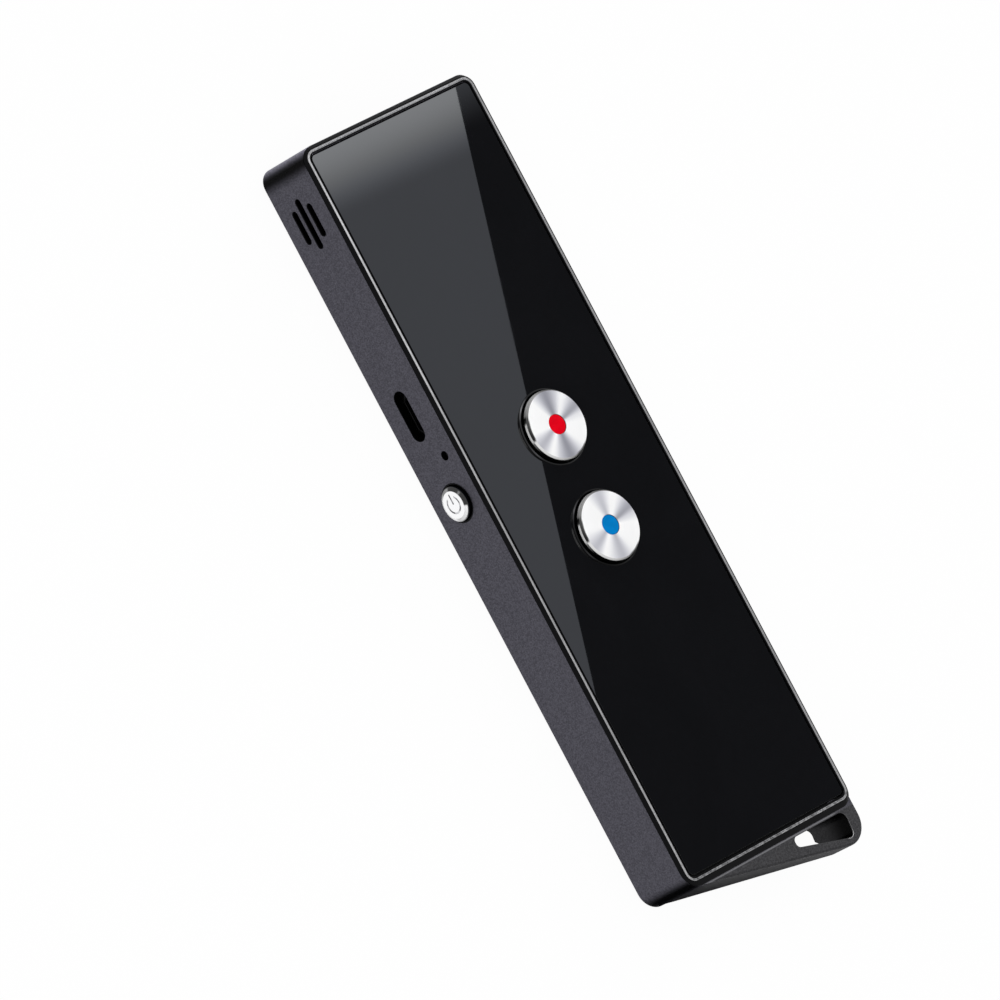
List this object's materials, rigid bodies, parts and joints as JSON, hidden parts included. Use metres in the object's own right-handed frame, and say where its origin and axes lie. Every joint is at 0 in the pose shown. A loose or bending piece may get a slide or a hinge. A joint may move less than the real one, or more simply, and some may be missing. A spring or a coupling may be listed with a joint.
{
  "type": "handheld translator",
  "caption": "Flat handheld voice translator with a black glass front, two spring-loaded talk buttons, a side power button, a back speaker grille and a lanyard eye.",
  "frame": {"origin": "on the outer face of the back cover, in the middle of its width and midway along the whole length", "axes": "+X to the right side seen from the front, +Y to the top end, +Z out of the glass front"},
  "size_m": [0.0409, 0.1396, 0.0142],
  "materials": {
    "frame_metal": "fine bead-blasted dark grey anodising",
    "bezel_black": "glossy black with a bright cut edge",
    "panel_glass": "black glass, printed behind, polished",
    "adhesive_film": "black double-sided film",
    "cover_metal": "dark grey anodised sheet with punched grille",
    "chassis_plastic": "moulded grey plastic",
    "screw_steel": "zinc plated",
    "board_green": "green solder mask",
    "chip_black": "black moulding compound",
    "can_steel": "tinned sheet",
    "antenna_ceramic": "fired ceramic with silver ends",
    "component_mix": "small coils, capacitors and resistors",
    "led_body": "clear resin on a white base",
    "light_guide": "clear polycarbonate rod",
    "capsule_metal": "gold plated can",
    "boot_rubber": "soft black rubber",
    "mesh_cloth": "fine black woven mesh",
    "socket_steel": "nickel plated shell",
    "socket_plastic": "black liquid-crystal polymer",
    "contact_gold": "gold plated contacts",
    "gasket_foam": "closed-cell foam",
    "basket_steel": "zinc passivated pressing",
    "cone_paper": "coated paper with a rolled edge",
    "coil_copper": "enamelled copper winding",
    "magnet_nickel": "nickel plated",
    "yoke_steel": "zinc plated cup",
    "lead_black": "black wire insulation",
    "cell_foil": "laminated pouch foil",
    "foam_pad": "thin black foam",
    "lead_red": "red wire insulation",
    "connector_cream": "natural nylon",
    "switch_black": "black switch housing",
    "plunger_white": "white acetal",
    "dome_rubber": "translucent silicone",
    "ring_dark": "black chrome, polished",
    "sleeve_black": "black liner",
    "button_metal": "spun face with a polished cut edge",
    "dot_red": "red enamel",
    "dot_blue": "blue enamel",
    "clip_steel": "spring steel",
    "power_metal": "polished with an engraved power mark"
  },
  "bodies": {
    "housing": {"middle_frame": "frame_metal", "front_bezel": "bezel_black", "front_glass": "panel_glass", "glass_adhesive": "adhesive_film", "back_cover": "cover_metal", "inner_chassis": "chassis_plastic", "chassis_screws": "screw_steel", "board_screws": "screw_steel", "main_board": "board_green", "processor_chip": "chip_black", "memory_chip": "chip_black", "wireless_can": "can_steel", "chip_antenna": "antenna_ceramic", "small_components": "component_mix", "indicator_led": "led_body", "light_pipe": "light_guide", "microphone_capsule": "capsule_metal", "microphone_boot": "boot_rubber", "microphone_mesh": "mesh_cloth", "usb_socket_shell": "socket_steel", "usb_socket_tongue": "socket_plastic", "usb_contacts": "contact_gold", "speaker_mesh": "mesh_cloth", "speaker_gasket": "gasket_foam", "speaker_basket": "basket_steel", "speaker_cone": "cone_paper", "voice_coil": "coil_copper", "speaker_magnet": "magnet_nickel", "speaker_yoke": "yoke_steel", "speaker_leads": "lead_black", "battery_cell": "cell_foil", "battery_foam_pad": "foam_pad", "battery_leads": "lead_red", "battery_plug": "connector_cream", "battery_socket": "connector_cream", "red_switch_base": "switch_black", "blue_switch_base": "switch_black", "power_switch_base": "switch_black", "red_switch_dome": "dome_rubber", "blue_switch_dome": "dome_rubber", "red_button_ring": "ring_dark", "blue_button_ring": "ring_dark", "power_button_ring": "sleeve_black"},
    "red_button": {"red_button_cap": "button_metal", "red_button_dot": "dot_red", "red_button_clip": "clip_steel", "red_switch_plunger": "plunger_white"},
    "blue_button": {"blue_button_cap": "button_metal", "blue_button_dot": "dot_blue", "blue_button_clip": "clip_steel", "blue_switch_plunger": "plunger_white"},
    "power_button": {"power_button_cap": "power_metal", "power_switch_plunger": "plunger_white"}
  },
  "joints": [
    {"name": "red_button_press", "type": "slide", "parent": "housing", "child": "red_button", "axis": [0, 0, -1], "range_m": [0, 0.0005], "stiffness_N_per_m": 3000, "deforming": ["red_switch_dome"]},
    {"name": "blue_button_press", "type": "slide", "parent": "housing", "child": "blue_button", "axis": [0, 0, -1], "range_m": [0, 0.0005], "stiffness_N_per_m": 3000, "deforming": ["blue_switch_dome"]},
    {"name": "power_button_press", "type": "slide", "parent": "housing", "child": "power_button", "axis": [1, 0, 0], "range_m": [0, 0.00035], "stiffness_N_per_m": 4000}
  ]
}
